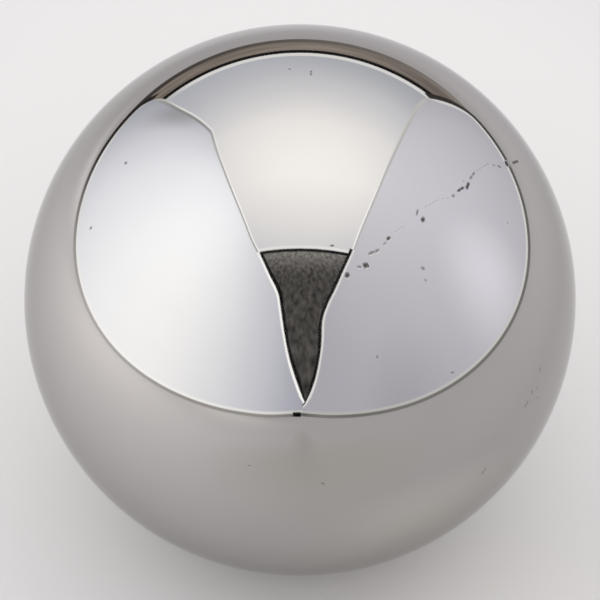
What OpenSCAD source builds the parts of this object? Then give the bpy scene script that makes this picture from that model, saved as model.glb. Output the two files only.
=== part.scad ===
// Solid steel ball, ground and lapped to a mirror finish.
// One piece, with no hole, flat or joint. The origin is the centre of the ball, and +Z is up.

/* [Ball] */
// Diameter of the ball: 1 inch
ball_d = 25.4; // [5:0.1:100]

/* [Hidden] */
// Facets round the ball in the preview
ball_facets = 128;

// Lapped steel under soft light
steel_colour = "#bfbdba";

// The ball: one true sphere, solid all through
module steel_ball() {
    color(steel_colour)
        sphere(d = ball_d, $fn = ball_facets);
}

steel_ball();
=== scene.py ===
"""A one inch steel ball, lapped to a mirror finish, on a pale floor inside a tent of white paper."""
import math

import bpy
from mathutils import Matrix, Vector


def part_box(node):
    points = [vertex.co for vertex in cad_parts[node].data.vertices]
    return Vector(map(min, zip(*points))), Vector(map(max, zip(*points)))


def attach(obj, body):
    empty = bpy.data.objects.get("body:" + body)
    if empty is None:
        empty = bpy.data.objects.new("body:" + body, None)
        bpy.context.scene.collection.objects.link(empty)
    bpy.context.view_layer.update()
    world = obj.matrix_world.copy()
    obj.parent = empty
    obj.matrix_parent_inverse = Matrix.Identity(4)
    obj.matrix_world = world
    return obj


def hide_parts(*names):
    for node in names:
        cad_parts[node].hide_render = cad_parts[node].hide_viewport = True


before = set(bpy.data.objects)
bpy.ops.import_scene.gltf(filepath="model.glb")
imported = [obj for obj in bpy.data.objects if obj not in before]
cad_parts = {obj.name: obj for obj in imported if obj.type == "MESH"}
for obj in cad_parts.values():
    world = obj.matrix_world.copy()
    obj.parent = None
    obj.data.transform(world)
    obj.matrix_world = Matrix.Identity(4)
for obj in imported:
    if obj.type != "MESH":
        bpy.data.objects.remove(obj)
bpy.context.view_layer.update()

# The ball
# One solid ball of through-hardened bearing steel. It is forged from bar, ground between plates and lapped
# until it is round to a micron, which leaves a mirror finish with no seam, pole or flat.
low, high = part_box("steel_ball")
ball_radius = max(high - low) / 2
mm = 0.001
quads_along_edge = 112


def add_node(tree, kind, inputs=None, **settings):
    """Adds a node, gives it its settings, and links or sets the inputs that are named."""
    node = tree.nodes.new(kind)
    for name, value in settings.items():
        setattr(node, name, value)
    for name, value in (inputs or {}).items():
        if isinstance(value, bpy.types.NodeSocket):
            tree.links.new(value, node.inputs[name])
        else:
            node.inputs[name].default_value = value
    return node


def linear(hex_colour):
    """Turns an sRGB hex colour to linear red, green, blue and alpha."""
    shares = [int(hex_colour[k:k + 2], 16) / 255 for k in (1, 3, 5)]
    return [s / 12.92 if s <= 0.04045 else ((s + 0.055) / 1.055) ** 2.4 for s in shares] + [1.0]


# The camera looks down on the ball from in front. A pixel of the photograph names a place on the ball.
camera_elevation = math.radians(45)
camera_distance = 1.0
photo_side_px = 600
ball_radius_px = 276
towards_camera = Vector((0, -math.cos(camera_elevation), math.sin(camera_elevation)))
picture_right = Vector((1, 0, 0))
picture_up = towards_camera.cross(picture_right)
tangent_per_px = math.tan(math.asin(ball_radius / camera_distance)) / ball_radius_px


def on_ball(pixel):
    """Returns the point of the ball's surface that a pixel of the photograph shows."""
    across = (pixel[0] - photo_side_px / 2) * tangent_per_px
    down = (pixel[1] - photo_side_px / 2) * tangent_per_px
    eye = towards_camera * camera_distance
    ray = (picture_right * across - picture_up * down - towards_camera).normalized()
    reach = -ray.dot(eye)
    miss_squared = eye.length_squared - reach ** 2
    return eye + ray * (reach - math.sqrt(max(ball_radius ** 2 - miss_squared, 0)))


# Wear: a trail of fine pits and nicks up the right of the ball, and a few strays. Each mark runs between two
# pixels of the photograph, and has a width in millimetres and a depth, which makes it dark or faint.
deep, middling, faint, slight = 0.024 * mm, 0.016 * mm, 0.011 * mm, 0.007 * mm
deepest = 1.4 * deep
marks = [
    # The trail, from the middle of the ball outwards
    ((347, 275), (347, 276), 0.30, deep),
    ((358, 267), (359, 267), 0.20, faint),
    ((365, 265), (366, 266), 0.32, deep),
    ((369, 254), (374, 252), 0.22, middling),
    ((376, 252), (378, 250), 0.20, middling),
    ((384, 244), (386, 243), 0.19, faint),
    ((388, 239), (389, 238), 0.23, deep),
    ((394, 233), (405, 226), 0.08, slight),
    ((417, 215), (418, 210), 0.20, middling),
    ((423, 219), (423, 220), 0.31, deep),
    ((424, 208), (439, 199), 0.09, slight),
    ((441, 199), (450, 197), 0.07, slight),
    ((453, 196), (454, 195), 0.21, middling),
    ((458, 191), (464, 187), 0.18, deep),
    ((467, 188), (469, 183), 0.23, deep),
    ((470, 179), (475, 172), 0.16, middling),
    ((476, 171), (489, 163), 0.07, slight),
    ((463, 181), (464, 181), 0.11, faint),
    ((493, 165), (495, 165), 0.12, faint),
    ((498, 166), (501, 167), 0.17, middling),
    ((507, 164), (507, 163), 0.36, deepest),
    ((513, 163), (518, 161), 0.18, deep),
    # Strays beside the trail
    ((331, 246), (333, 246), 0.15, middling),
    ((422, 268), (424, 269), 0.20, middling),
    ((425, 280), (426, 281), 0.16, faint),
    ((508, 222), (508, 223), 0.13, faint),
    ((377, 356), (377, 358), 0.13, faint),
    ((452, 373), (453, 373), 0.17, faint),
    # Strays on the rest of the ball
    ((125, 162), (126, 163), 0.18, middling),
    ((90, 228), (91, 228), 0.18, middling),
    ((311, 70), (311, 75), 0.12, middling),
    ((289, 68), (290, 69), 0.16, faint),
    ((540, 367), (540, 372), 0.17, faint),
    ((532, 391), (532, 393), 0.20, faint),
    ((537, 387), (537, 389), 0.15, faint),
    ((537, 397), (538, 398), 0.19, slight),
    ((528, 401), (525, 407), 0.20, faint),
    ((248, 466), (251, 466), 0.14, faint),
    ((322, 483), (324, 484), 0.18, faint),
    ((482, 474), (486, 468), 0.18, faint),
]
steel = bpy.data.materials.new("lapped_bearing_steel")

# A long mark is a row of short links, so that it follows the round of the ball.
longest_link = 0.3 * mm
mark_mesh = bpy.data.meshes.new("ball_marks")
links = []
for start, end, width, depth in marks:
    a, b = on_ball(start), on_ball(end)
    count = math.ceil((b - a).length / longest_link)
    for k in range(count):
        links.append((a.lerp(b, k / count), a.lerp(b, (k + 1) / count), width, depth))
mark_mesh.from_pydata([(a + b).normalized() * ball_radius for a, b, width, depth in links], [], [])
along = mark_mesh.attributes.new("along", "FLOAT_VECTOR", "POINT")
size = mark_mesh.attributes.new("size", "FLOAT_VECTOR", "POINT")
for k, (a, b, width, depth) in enumerate(links):
    along.data[k].vector = b - a
    size.data[k].vector = (((b - a).length + width * mm) / 2, width * mm / 2, depth)

# A cube of even quads is blown up to a sphere, and a ragged nick is cut out of it at each mark.
tree = bpy.data.node_groups.new("lapped_ball", "GeometryNodeTree")
tree.interface.new_socket("Geometry", in_out="OUTPUT", socket_type="NodeSocketGeometry")
tree_inputs = {
    "Marks": "NodeSocketGeometry", "Radius": "NodeSocketFloat", "Quads": "NodeSocketInt",
    "Raggedness": "NodeSocketFloat", "Seed": "NodeSocketInt", "Steel": "NodeSocketMaterial"}
for name, kind in tree_inputs.items():
    tree.interface.new_socket(name, in_out="INPUT", socket_type=kind)
given = tree.nodes.new("NodeGroupInput").outputs
vertices = add_node(tree, "ShaderNodeMath", {0: given["Quads"], 1: 1.0}, operation="ADD").outputs[0]
cube = add_node(tree, "GeometryNodeMeshCube", {
    "Size": (2, 2, 2), "Vertices X": vertices, "Vertices Y": vertices, "Vertices Z": vertices})
place = add_node(tree, "GeometryNodeInputPosition").outputs[0]
angle = add_node(tree, "ShaderNodeVectorMath", {0: place, "Scale": math.pi / 4},
                 operation="SCALE").outputs[0]
even = add_node(tree, "ShaderNodeVectorMath", {0: angle}, operation="TANGENT").outputs[0]
outward = add_node(tree, "ShaderNodeVectorMath", {0: even}, operation="NORMALIZE").outputs[0]
blown = add_node(tree, "ShaderNodeVectorMath", {0: outward, "Scale": given["Radius"]},
                 operation="SCALE").outputs[0]
sphere = add_node(tree, "GeometryNodeSetPosition", {"Geometry": cube.outputs["Mesh"], "Position": blown})

# A nick is dished: its depth falls off from the middle to nothing at its rim. Its outline is shoved sideways
# by noise, in a few kinds.
ragged_kinds = 4
ragged_seed = 7
raggedness = 0.45
bead_subdivisions = 3
lump_scale, lump_detail = 1.4, 2.0
noise_middle = (0.5, 0.5, 0.5)
sideways, inward = (1, 1, 0), (0, 0, 1)
nick_kinds = add_node(tree, "GeometryNodeJoinGeometry")
off_middle = add_node(tree, "ShaderNodeVectorMath", {0: place}, operation="ABSOLUTE").outputs[0]
dish = add_node(tree, "ShaderNodeVectorMath", {0: off_middle, 1: inward, 2: sideways},
                operation="MULTIPLY_ADD").outputs[0]
dished = add_node(tree, "ShaderNodeVectorMath", {0: place, 1: dish}, operation="MULTIPLY").outputs[0]
for kind in range(ragged_kinds):
    bead = add_node(tree, "GeometryNodeMeshIcoSphere", {"Radius": 1.0, "Subdivisions": bead_subdivisions})
    lumps = add_node(tree, "ShaderNodeTexNoise", {
        "W": kind * math.pi, "Scale": lump_scale, "Detail": lump_detail}, noise_dimensions="4D")
    shove = add_node(tree, "ShaderNodeVectorMath", {0: lumps.outputs["Color"], 1: noise_middle},
                     operation="SUBTRACT").outputs[0]
    level = add_node(tree, "ShaderNodeVectorMath", {0: shove, 1: sideways}, operation="MULTIPLY").outputs[0]
    ragged = add_node(tree, "ShaderNodeVectorMath", {0: level, "Scale": given["Raggedness"]},
                      operation="SCALE").outputs[0]
    nick = add_node(tree, "GeometryNodeSetPosition", {
        "Geometry": bead.outputs["Mesh"], "Position": dished, "Offset": ragged})
    single = add_node(tree, "GeometryNodeGeometryToInstance", {0: nick.outputs[0]})
    tree.links.new(single.outputs[0], nick_kinds.inputs[0])
which = add_node(tree, "FunctionNodeRandomValue", {4: 0, 5: ragged_kinds - 1, "Seed": given["Seed"]},
                 data_type="INT")
lie = add_node(tree, "GeometryNodeInputNamedAttribute", {"Name": "along"}, data_type="FLOAT_VECTOR")
extent = add_node(tree, "GeometryNodeInputNamedAttribute", {"Name": "size"}, data_type="FLOAT_VECTOR")
upright = add_node(tree, "FunctionNodeAlignRotationToVector", {"Vector": place}, axis="Z")
turned = add_node(tree, "FunctionNodeAlignRotationToVector", {
    "Rotation": upright.outputs[0], "Vector": lie.outputs["Attribute"]}, axis="X", pivot_axis="Z")
nicks = add_node(tree, "GeometryNodeInstanceOnPoints", {
    "Points": given["Marks"], "Instance": nick_kinds.outputs[0], "Pick Instance": True,
    "Instance Index": which.outputs[2], "Rotation": turned.outputs[0], "Scale": extent.outputs["Attribute"]})
cutters = add_node(tree, "GeometryNodeRealizeInstances", {"Geometry": nicks.outputs[0]})
cut = add_node(tree, "GeometryNodeMeshBoolean", {
    "Mesh 1": sphere.outputs[0], "Mesh 2": cutters.outputs[0], "Self Intersection": True},
    operation="DIFFERENCE", solver="EXACT")
smooth = add_node(tree, "GeometryNodeSetShadeSmooth", {"Geometry": cut.outputs["Mesh"]})
whole = add_node(tree, "GeometryNodeRealizeInstances", {"Geometry": smooth.outputs[0]})
dressed = add_node(tree, "GeometryNodeSetMaterial", {
    "Geometry": whole.outputs[0], "Material": given["Steel"]})
add_node(tree, "NodeGroupOutput", {"Geometry": dressed.outputs[0]})

maker = bpy.data.objects.new("ball_maker", mark_mesh)
bpy.context.collection.objects.link(maker)
modifier = maker.modifiers.new("lapped_ball", "NODES")
modifier.node_group = tree
sockets = {item.name: item.identifier for item in tree.interface.items_tree if item.in_out == "INPUT"}
modifier[sockets["Radius"]] = ball_radius
modifier[sockets["Quads"]] = quads_along_edge
modifier[sockets["Raggedness"]] = raggedness
modifier[sockets["Seed"]] = ragged_seed
modifier[sockets["Steel"]] = steel
evaluated = maker.evaluated_get(bpy.context.evaluated_depsgraph_get())
ball_mesh = bpy.data.meshes.new_from_object(evaluated)
bpy.data.objects.remove(maker)
ball = bpy.data.objects.new("lapped_ball", ball_mesh)
bpy.context.collection.objects.link(ball)

# The lapped faces reflect as a true sphere, and the marks keep their own ragged faces.
most_lapped_lean = math.radians(2)
lapped_cosine = math.cos(most_lapped_lean)
corner_normals = [Vector()] * len(ball_mesh.loops)
for face in ball_mesh.polygons:
    if face.normal.dot(face.center.normalized()) > lapped_cosine:
        for corner in face.loop_indices:
            vertex = ball_mesh.vertices[ball_mesh.loops[corner].vertex_index]
            corner_normals[corner] = vertex.co.normalized()
ball_mesh.normals_split_custom_set(corner_normals)

# Lapped bearing steel is a bright, faintly warm grey mirror. A wiped film of oil leaves it a little hazy in
# patches some millimetres wide, and the marks hold dark dirt, the deeper the darker.
steel_colour, steel_pale_colour = "#BAB8B5", "#BEBCB9"
dirt_colour = "#4E4B49"
grazing_tint = "#E0E0E0"
patch_size = 3 * mm
film_detail = 3.0
bright_roughness, hazy_roughness, dirt_roughness = 0.02, 0.05, 0.5
clean_depth, dirty_depth = 0.001 * mm, 0.022 * mm
steel.use_nodes = True
shading = steel.node_tree
shading.nodes.clear()
spot = add_node(shading, "ShaderNodeTexCoord").outputs["Object"]
film = add_node(shading, "ShaderNodeTexNoise", {
    "Vector": spot, "Scale": 1 / patch_size, "Detail": film_detail}).outputs[0]
height = add_node(shading, "ShaderNodeVectorMath", {0: spot}, operation="LENGTH").outputs["Value"]
dirt = add_node(shading, "ShaderNodeMapRange", {
    "Value": height, "From Min": ball_radius - clean_depth,
    "From Max": ball_radius - dirty_depth}).outputs[0]
metal = add_node(shading, "ShaderNodeMix", {0: film, 6: linear(steel_colour), 7: linear(steel_pale_colour)},
                 data_type="RGBA").outputs[2]
colour = add_node(shading, "ShaderNodeMix", {0: dirt, 6: metal, 7: linear(dirt_colour)},
                  data_type="RGBA").outputs[2]
haze = add_node(shading, "ShaderNodeMapRange", {
    "Value": film, "To Min": bright_roughness, "To Max": hazy_roughness}).outputs[0]
roughness = add_node(shading, "ShaderNodeMix", {0: dirt, 2: haze, 3: dirt_roughness},
                     data_type="FLOAT").outputs[0]
surface = add_node(shading, "ShaderNodeBsdfPrincipled", {
    "Base Color": colour, "Metallic": 1.0, "Roughness": roughness, "Specular Tint": linear(grazing_tint)})
add_node(shading, "ShaderNodeOutputMaterial", {"Surface": surface.outputs[0]})

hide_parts("steel_ball")
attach(ball, "root")

# The floor
# A wide sheet of matt paper that the ball stands on, grey, with painted light and shade in its colour: it is
# painted pale round the ball and paler to the left, where most of the light would fall, with painted shade
# in front of the ball. Places on the stage are in ball radii from its centre.
floor_half, floor_level = 160, -1
grey_paper_colour = "#BFBBBE"
# A patch paints light or shade, and has a place, how far it reaches, the share of that over which it is
# whole, and a colour.
painted_light_and_shade = [
    # Painted light to the back right, the left, the back left, the front left, behind the ball and round it;
    # then painted shade and a painted shadow streak in front; last, painted light that lightens the ball's
    # own shadow at its front right.
    ((4, 4.5, floor_level), (8, 8, 1), 0, "#D2CED1"),
    ((-7, -1.2, floor_level), (9.5, 9.5, 1), 0, "#FBF7F8"),
    ((-8.9, 7.1, floor_level), (5.6, 5.6, 1), 0, "#F1EDEE"),
    ((-4.8, -9, floor_level), (5.5, 5.5, 1), 0, "#E3DFDD"),
    ((-0.4, 4, floor_level), (2.6, 2.6, 1), 0, "#D9D7D8"),
    ((0, 1.1, floor_level), (2.6, 2.6, 1), 0.5, "#DAD7D7"),
    ((0.5, -3.3, floor_level), (2.6, 2.6, 1), 0.15, "#BBB8B4"),
    ((0.12, -5, floor_level), (0.5, 3.6, 1), 0, "#B5B1AF"),
    ((0.7, -0.8, floor_level), (1.0, 1.0, 1), 0, "#D9D6D3"),
]
paper_roughness = 0.9


def fall_off(tree, place, reach, full_share=0.0):
    """Returns a share that is whole round a place and falls smoothly to nothing at the reach."""
    spot = add_node(tree, "ShaderNodeTexCoord").outputs["Object"]
    away = add_node(tree, "ShaderNodeVectorMath", {0: spot, 1: Vector(place) * ball_radius},
                    operation="SUBTRACT")
    share = add_node(tree, "ShaderNodeVectorMath", {0: away.outputs[0], 1: Vector(reach) * ball_radius},
                     operation="DIVIDE")
    length = add_node(tree, "ShaderNodeVectorMath", {0: share.outputs[0]}, operation="LENGTH")
    return add_node(tree, "ShaderNodeMapRange", {
        "Value": length.outputs["Value"], "From Min": 1.0, "From Max": full_share},
        interpolation_type="SMOOTHSTEP").outputs[0]


floor_mesh = bpy.data.meshes.new("floor")
corners = [(-floor_half, -floor_half), (floor_half, -floor_half),
           (floor_half, floor_half), (-floor_half, floor_half)]
floor_mesh.from_pydata([Vector((x, y, floor_level)) * ball_radius for x, y in corners], [], [(0, 1, 2, 3)])
floor = bpy.data.objects.new("floor", floor_mesh)
bpy.context.collection.objects.link(floor)
paper = bpy.data.materials.new("matt_paper_with_painted_light")
paper.use_nodes = True
shading = paper.node_tree
shading.nodes.clear()
colour = linear(grey_paper_colour)
# Each patch mixes its painted light or shade into the grey of the paper.
for place, reach, full_share, painted_colour in painted_light_and_shade:
    fade = fall_off(shading, place, reach, full_share)
    mix = add_node(shading, "ShaderNodeMix", {0: fade, 6: colour, 7: linear(painted_colour)}, data_type="RGBA")
    colour = mix.outputs[2]
surface = add_node(shading, "ShaderNodeBsdfPrincipled", {"Base Color": colour, "Roughness": paper_roughness})
add_node(shading, "ShaderNodeOutputMaterial", {"Surface": surface.outputs[0]})
floor_mesh.materials.append(paper)

# The light tent
# Two sheets of white paper stand beside the ball and a third arches over it, with an opening in front. They
# glow at set brightnesses, with painted light and shade in place of lamp light from outside the paper, and
# show only in the ball's reflections. The even light of the room is all that falls on the floor. Brightness
# is linear, and a reach of wide leaves a direction out.
wide = 100
mottle_low, mottle_high, mottle_detail = 0.3, 0.7, 3.0


def light_sheet(name, rows, base, painted_lights=()):
    """Makes a glowing sheet between rows of places that shows only in reflections. A painted light has a
    place, how far it reaches and a gain for each colour, and one of negative gain is painted shade on the
    sheet."""
    count = len(rows[0])
    mesh = bpy.data.meshes.new(name)
    faces = [(r * count + k, r * count + k + 1, (r + 1) * count + k + 1, (r + 1) * count + k)
             for r in range(len(rows) - 1) for k in range(count - 1)]
    mesh.from_pydata([Vector(place) * ball_radius for row in rows for place in row], [], faces)
    sheet = bpy.data.objects.new(name, mesh)
    bpy.context.collection.objects.link(sheet)
    material = bpy.data.materials.new(name)
    material.use_nodes = True
    nodes = material.node_tree
    nodes.nodes.clear()
    glow = (*base, 1)
    for place, reach, gain in painted_lights:
        strength = (*[abs(g) for g in gain], 1)
        lit = add_node(nodes, "ShaderNodeMix", {0: fall_off(nodes, place, reach), 6: glow, 7: strength},
                       data_type="RGBA", blend_type="ADD" if gain[0] > 0 else "SUBTRACT")
        glow = lit.outputs[2]
    light = add_node(nodes, "ShaderNodeEmission", {"Color": glow, "Strength": 1.0})
    add_node(nodes, "ShaderNodeOutputMaterial", {"Surface": light.outputs[0]})
    mesh.materials.append(material)
    sheet.visible_camera = False
    sheet.visible_diffuse = False
    sheet.visible_shadow = False
    return nodes, light


def mottle(nodes, light, size, dark, bright):
    """Paints light and shade into a sheet's glow in soft patches of a size in ball radii."""
    spot = add_node(nodes, "ShaderNodeTexCoord").outputs["Object"]
    share = add_node(nodes, "ShaderNodeVectorMath", {0: spot, 1: Vector(size) * ball_radius},
                     operation="DIVIDE")
    patches = add_node(nodes, "ShaderNodeTexNoise", {
        "Vector": share.outputs[0], "Scale": 1.0, "Detail": mottle_detail})
    level = add_node(nodes, "ShaderNodeMapRange", {
        "Value": patches.outputs[0], "From Min": mottle_low, "From Max": mottle_high,
        "To Min": dark, "To Max": bright})
    nodes.links.new(level.outputs[0], light.inputs["Strength"])


def smooth_run(points, steps=8):
    """Returns places on a smooth line through the points."""
    points = [Vector(p) for p in points]
    padded = [2 * points[0] - points[1]] + points + [2 * points[-1] - points[-2]]
    run = []
    for before, start, end, after in zip(padded, padded[1:], padded[2:], padded[3:]):
        for step in range(steps):
            t = step / steps
            bend = t * (3 * (start - end) + after - before) + 2 * before - 5 * start + 4 * end - after
            run.append(start + t / 2 * (end - before + t * bend))
    return run + [points[-1]]


def across_rows(half, places, bow=0.0, columns=17):
    """Returns rows that run across the tent at each y and z, bowed towards the opening at their ends."""
    xs = [half * (2 * k / (columns - 1) - 1) for k in range(columns)]
    return [[(x, y - bow * x * x, z) for x in xs] for y, z in places]


def on_sheet(pixel, foot):
    """Returns x, y and height on a sheet, upright on a foot line, where a pixel shows it in the ball."""
    spot = on_ball(pixel)
    sight = (spot - towards_camera * camera_distance).normalized()
    way = sight.reflect(spot.normalized())
    start = spot / ball_radius
    for a, b in zip(foot, foot[1:]):
        side_a = way.xy.cross(a - start.xy)
        side_b = way.xy.cross(b - start.xy)
        if side_a * side_b <= 0:
            away = a.lerp(b, side_a / (side_a - side_b)) - start.xy
            if away.dot(way.xy) > 0:
                height = start.z + way.z * away.length / way.xy.length - floor_level
                return start.x + away.x, start.y + away.y, height


# A standing sheet has the x and y of its foot, from the back to the opening, and the pixels of its top edge
# in the photograph, which are traced from the ball to the sheet. A painted shadow line shows under its foot,
# where its lower corner lifts at the back, with a painted bright hem above it, and its cut edges are painted
# white highlights beside a thin painted shade. Each strip has its own brightness and painted lights.
standing_sheets = {
    "left": {
        "foot": [(-10.7, 20.5), (-11.1, 13.5), (-11.0, 9.2), (-10.3, 5.5), (-8.9, -1.4), (-7.2, -6.9),
                 (-4.5, -11.4), (-3.1, -13.0), (-2.0, -14.9), (-1.2, -16.4), (1.1, -19.5)],
        "top_px": [(152.5, 100), (164.5, 101), (179.5, 108.5), (197.5, 118.5), (209.5, 128.5), (213, 134),
                   (218.5, 153), (225, 170.5), (232, 188.5), (239.5, 207), (246, 223), (252, 238.5),
                   (260, 254.5), (269, 274), (277.5, 291.5), (280.5, 307), (284, 331.5), (290, 361),
                   (301.5, 395), (306, 405)],
        "base": (0.64, 0.65, 0.78),
        "painted_lights": [((-9, 0, 11.5), (wide, 23, 47), (1.07, 1.10, 1.08)),
                  ((-9, -4.6, 0), (wide, 9.8, 23), (0.25, 0.23, 0.16)),
                  # The last is painted shade of a fold near the back.
                  ((-9, 15.2, 8.5), (wide, 3.8, 7.5), (-0.28, -0.28, -0.36))],
        "gap_share": 0.024,
        "foot_painted_lights": [((-9, -1.0, 0), (wide, 15, wide), (0.78, 0.76, 0.75)),
                       ((-3, -14, 0), (wide, 9, wide), (0.40, 0.39, 0.37))],
        "hem": 0.87,
        "hem_painted_lights": [((-9, -3, 0), (wide, 21, wide), (0.95, 0.95, 0.95)),
                      ((-9, 11.5, 0), (wide, 5, wide), (0.35, 0.35, 0.35))],
        "corner_from": 17.75, "corner_rise": 1.15,
        "seam_shade": 0.78,
        "shade_painted_lights": [((-9, 15.5, 0), (wide, 5, wide), (-0.30, -0.30, -0.28))],
        "seam_edge": 1.6,
        "seam_painted_lights": [((0, -3, 20), (wide, 17, wide), (0.5, 0.5, 0.5)),
                       ((0, 20, 0), (wide, 4.5, wide), (-0.8, -0.8, -0.85))],
        "front_from": -8.75, "front_edge": 1.9},
    "right": {
        "foot": [(9.0, 17.0), (8.2, 9.5), (8.0, 4.2), (7.0, -1.1), (5.5, -5.8), (3.9, -10.1), (2.2, -13.8),
                 (1.6, -15.4), (0.0, -18.6)],
        "top_px": [(425.5, 98.5), (416, 109), (405, 128.5), (395, 149), (386, 169), (377.5, 189.5),
                   (369, 209.5), (360.5, 229.5), (353, 249.5), (344, 269.5), (335, 289.5), (327.5, 305),
                   (322.5, 321), (321, 348.5), (315, 380), (306, 402), (302.5, 406.5)],
        "base": (0.77, 0.77, 0.86),
        "painted_lights": [((8, 3, 15), (wide, 20, 25), (0.44, 0.44, 0.47)),
                  ((8, -0.2, 1.5), (wide, 3.1, 4.4), (0.30, 0.28, 0.32)),
                  ((8, 0.5, 3.5), (wide, 6, 9), (0.06, 0.055, 0.07)),
                  # The last is painted shade low down towards the opening.
                  ((5, -6.5, -1), (wide, 4, 6), (-0.12, -0.12, -0.13))],
        "gap_share": 0.025,
        "foot_painted_lights": [((8, -4, 0), (wide, 24, wide), (0.30, 0.29, 0.28)),
                       ((3, -15, 0), (wide, 5, wide), (0.14, 0.14, 0.14))],
        "hem": 0.88,
        "hem_painted_lights": [((8, 10, 0), (wide, 20, wide), (0.45, 0.45, 0.45))],
        "corner_from": 12.4, "corner_rise": 4.05,
        "seam_shade": 0.93,
        "shade_painted_lights": [],
        "seam_edge": 0.98,
        "seam_painted_lights": [((0, -3, 20), (wide, 17, wide), (1.0, 1.0, 1.0))],
        "front_from": -5.75, "front_edge": 1.45},
}
gap_growth = 0.0012
hem_share, edge_share, seam_share, shade_share = 0.022, 0.027, 0.015, 0.045
corner_lean, corner_slant = 1.9, 0.42
strips_in_height = 5
painted_foot_shadow = (0.04, 0.037, 0.035)
edge_shade_dark = (0.01, 0.01, 0.01)
for side, sheet in standing_sheets.items():
    foot = smooth_run(sheet["foot"])
    run = smooth_run([on_sheet(pixel, foot) for pixel in sheet["top_px"]])
    foot_row, gap_row, hem_row, rim_row, top_row, edge_row, shade_row = [], [], [], [], [], [], []
    for before, here, after in zip(run[:1] + run, run, run[1:] + run[-1:]):
        x, y, rise = here
        distance = here.length
        corner_length = run[0].y - sheet["corner_from"]
        corner_share = max(y - sheet["corner_from"], 0) / corner_length
        lift = sheet["corner_rise"] * corner_share ** 3
        tilt = math.atan(3 * sheet["corner_rise"] * corner_share ** 2 / corner_length / corner_slant)
        line = math.hypot(x, y) * (sheet["gap_share"] + gap_growth * max(y, 0))
        gap = lift + line
        room = (rise - gap) / strips_in_height
        hem = min(hem_share * math.hypot(x, y), room)
        step = after - before
        level = math.hypot(step.x, step.y)
        outward = Vector((-step.x * step.z / level, -step.y * step.z / level, level)).normalized()
        top = Vector((x, y, rise + floor_level))
        foot_height = gap - line * math.cos(tilt) + floor_level
        hem_height = gap + hem * math.cos(tilt) + floor_level
        foot_row.append((x, y + corner_lean * line * math.sin(tilt), foot_height))
        gap_row.append((x, y, gap + floor_level))
        hem_row.append((x, y - corner_lean * hem * math.sin(tilt), hem_height))
        rim_row.append(top - outward * min(edge_share * distance, room))
        top_row.append(top)
        edge_row.append(top + outward * min(seam_share * distance, room))
        shade_row.append(top + outward * min(shade_share * distance, room))
    # The foot line is painted shadow, the hem, seam edge and front edge are painted highlights, and the seam
    # shade and front shade are painted shade.
    light_sheet(side + "_foot_line", [foot_row, gap_row], painted_foot_shadow, sheet["foot_painted_lights"])
    light_sheet(side + "_hem", [gap_row, hem_row], [sheet["hem"]] * 3, sheet["hem_painted_lights"])
    light_sheet(side + "_sheet", [hem_row, rim_row], sheet["base"], sheet["painted_lights"])
    front = next(k for k, place in enumerate(run) if place.y < sheet["front_from"])
    light_sheet(side + "_seam_shade", [rim_row[:front + 1], top_row[:front + 1]], [sheet["seam_shade"]] * 3,
                sheet["shade_painted_lights"])
    light_sheet(side + "_seam_edge", [top_row[:front + 1], edge_row[:front + 1]], [sheet["seam_edge"]] * 3,
                sheet["seam_painted_lights"])
    light_sheet(side + "_front_edge", [rim_row[front:], top_row[front:]], [sheet["front_edge"]] * 3)
    light_sheet(side + "_front_shade", [top_row[front:], shade_row[front:]], edge_shade_dark)

# Where the feet of the two sheets meet in front, a small gap is left between them, shown by a black strip of
# painted shade.
gap_left, gap_right, gap_front, gap_top = -0.96, 0.1, -17.0, -0.4
gap_painted_shade = (0.0, 0.0, 0.0)
gap_rows = [[(gap_left, gap_front, z), (gap_right, gap_front, z)] for z in (floor_level, gap_top)]
light_sheet("foot_gap", gap_rows, gap_painted_shade)

# The arched sheet runs from behind the ball to the top of the opening, with a painted white highlight along
# its foot and its front and a thin painted shade beyond the front one. Its lines are given by y and z.
arch = [(34, 4), (33, 18), (24, 34), (6, 41), (-17.2, 40)]
arch_half, arch_bow = 40, 0.0037
arch_base = (0.84, 0.87, 0.97)
arch_painted_lights = [((3, 19, 75), (73, 73, 73), (1.85, 1.71, 1.47)),
              ((18, 33, 4), (30, wide, 18), (-0.13, -0.12, -0.15))]
arch_foot_edge, arch_foot_highlight = [(33.5, 5.4), (33.5, 7.5)], (1.35, 1.35, 1.35)
arch_foot_painted_lights = [((-19, 32, 6), (6.5, wide, wide), (-0.45, -0.44, -0.40))]
arch_front_edge, arch_front_highlight = [(-16.6, 39.9), (-17.6, 39.9)], (1.5, 1.5, 1.5)
arch_front_shade = [(-17.6, 39.9), (-18.6, 39.7)]
light_sheet("top_sheet", across_rows(arch_half, arch, arch_bow), arch_base, arch_painted_lights)
light_sheet("top_foot_highlight", across_rows(arch_half, arch_foot_edge, arch_bow), arch_foot_highlight,
            arch_foot_painted_lights)
light_sheet("top_front_highlight", across_rows(arch_half, arch_front_edge, arch_bow), arch_front_highlight)
light_sheet("top_front_shade", across_rows(arch_half, arch_front_shade, arch_bow), edge_shade_dark)
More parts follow.
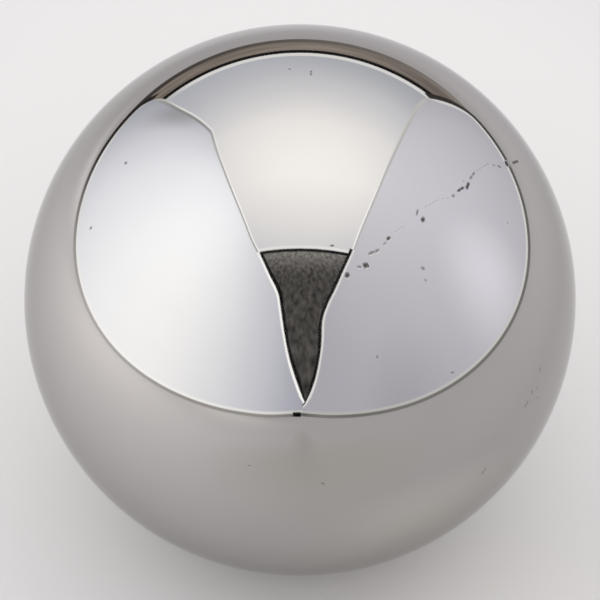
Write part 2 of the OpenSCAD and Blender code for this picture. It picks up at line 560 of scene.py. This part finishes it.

# A low brown board closes the back. It glows brown, with painted shade towards its right and painted light
# and shade in soft patches. Its foot is painted shadow, lighter to the right, that runs forward on the
# floor, and a black line of painted shade tops it.
board_half, board_back, board_front = 14, 22, 17
board_floor, board_foot, board_top, board_line_top = -0.99, -0.1, 3.1, 4.2
board_foot_lines = [(board_front, board_floor), (board_back, board_floor), (board_back, board_foot)]
board_foot_painted_shadow = (0.085, 0.075, 0.07)
board_foot_painted_lights = [((8, board_back, 0), (20, wide, wide), (0.22, 0.20, 0.185)),
                    ((0, board_front, -1), (wide, 2.6, wide), (0.20, 0.19, 0.185)),
                    ((13, board_back, 0), (9, wide, wide), (0.16, 0.145, 0.13))]
board_lines = [(board_back, board_foot), (board_back, board_top)]
board_brown = (0.40, 0.345, 0.305)
board_painted_lights = [((12, board_back, 1), (12, wide, wide), (-0.10, -0.085, -0.075))]
board_patch, board_patch_dark, board_patch_bright = (5, 5, 0.8), 0.7, 1.3
board_top_lines = [(board_back, board_top), (board_back, board_line_top)]
board_top_painted_shade = (0.015, 0.015, 0.015)
light_sheet("board_foot", across_rows(board_half, board_foot_lines), board_foot_painted_shadow, board_foot_painted_lights)
board, board_light = light_sheet(
    "back_board", across_rows(board_half, board_lines), board_brown, board_painted_lights)
mottle(board, board_light, board_patch, board_patch_dark, board_patch_bright)
light_sheet("board_line", across_rows(board_half, board_top_lines), board_top_painted_shade)

# A dark cloth hangs beyond the opening as painted shade for the dim room there. It glows faintly, with
# painted light towards its top and painted folds of light and shade in soft patches.
cloth_half, cloth_front, cloth_top = 70, -60, 140
cloth_lines = [(cloth_front, floor_level), (cloth_front, cloth_top)]
cloth_painted_shade = (0.118, 0.112, 0.108)
cloth_painted_lights = [((0, cloth_front, cloth_top), (200, wide, 60), (0.30, 0.285, 0.275))]
cloth_fold, cloth_fold_dark, cloth_fold_bright = (2.6, 2.6, 6.0), 0.4, 1.6
cloth, cloth_light = light_sheet(
    "dark_cloth_painted_shade", across_rows(cloth_half, cloth_lines), cloth_painted_shade, cloth_painted_lights)
mottle(cloth, cloth_light, cloth_fold, cloth_fold_dark, cloth_fold_bright)

# The room beyond the tent is pale and even.
room_light = 1.2
world = bpy.data.worlds.new("room")
bpy.context.scene.world = world
world.use_nodes = True
world.node_tree.nodes["Background"].inputs["Color"].default_value = (room_light, room_light, room_light, 1)

# The camera
# It stands a metre from the ball, in front of the opening, and has a long lens. It sees the ball as large as
# the photograph does.
lens_mm = 200
nearest_seen = 0.01
camera_data = bpy.data.cameras.new("camera")
camera = bpy.data.objects.new("camera", camera_data)
bpy.context.collection.objects.link(camera)
camera.location = towards_camera * camera_distance
camera.rotation_euler = (-towards_camera).to_track_quat("-Z", "Y").to_euler()
camera_data.lens = lens_mm
camera_data.sensor_width = photo_side_px * tangent_per_px * camera_data.lens
camera_data.clip_start = nearest_seen
bpy.context.scene.camera = camera
bpy.context.scene.view_settings.view_transform = "Standard"
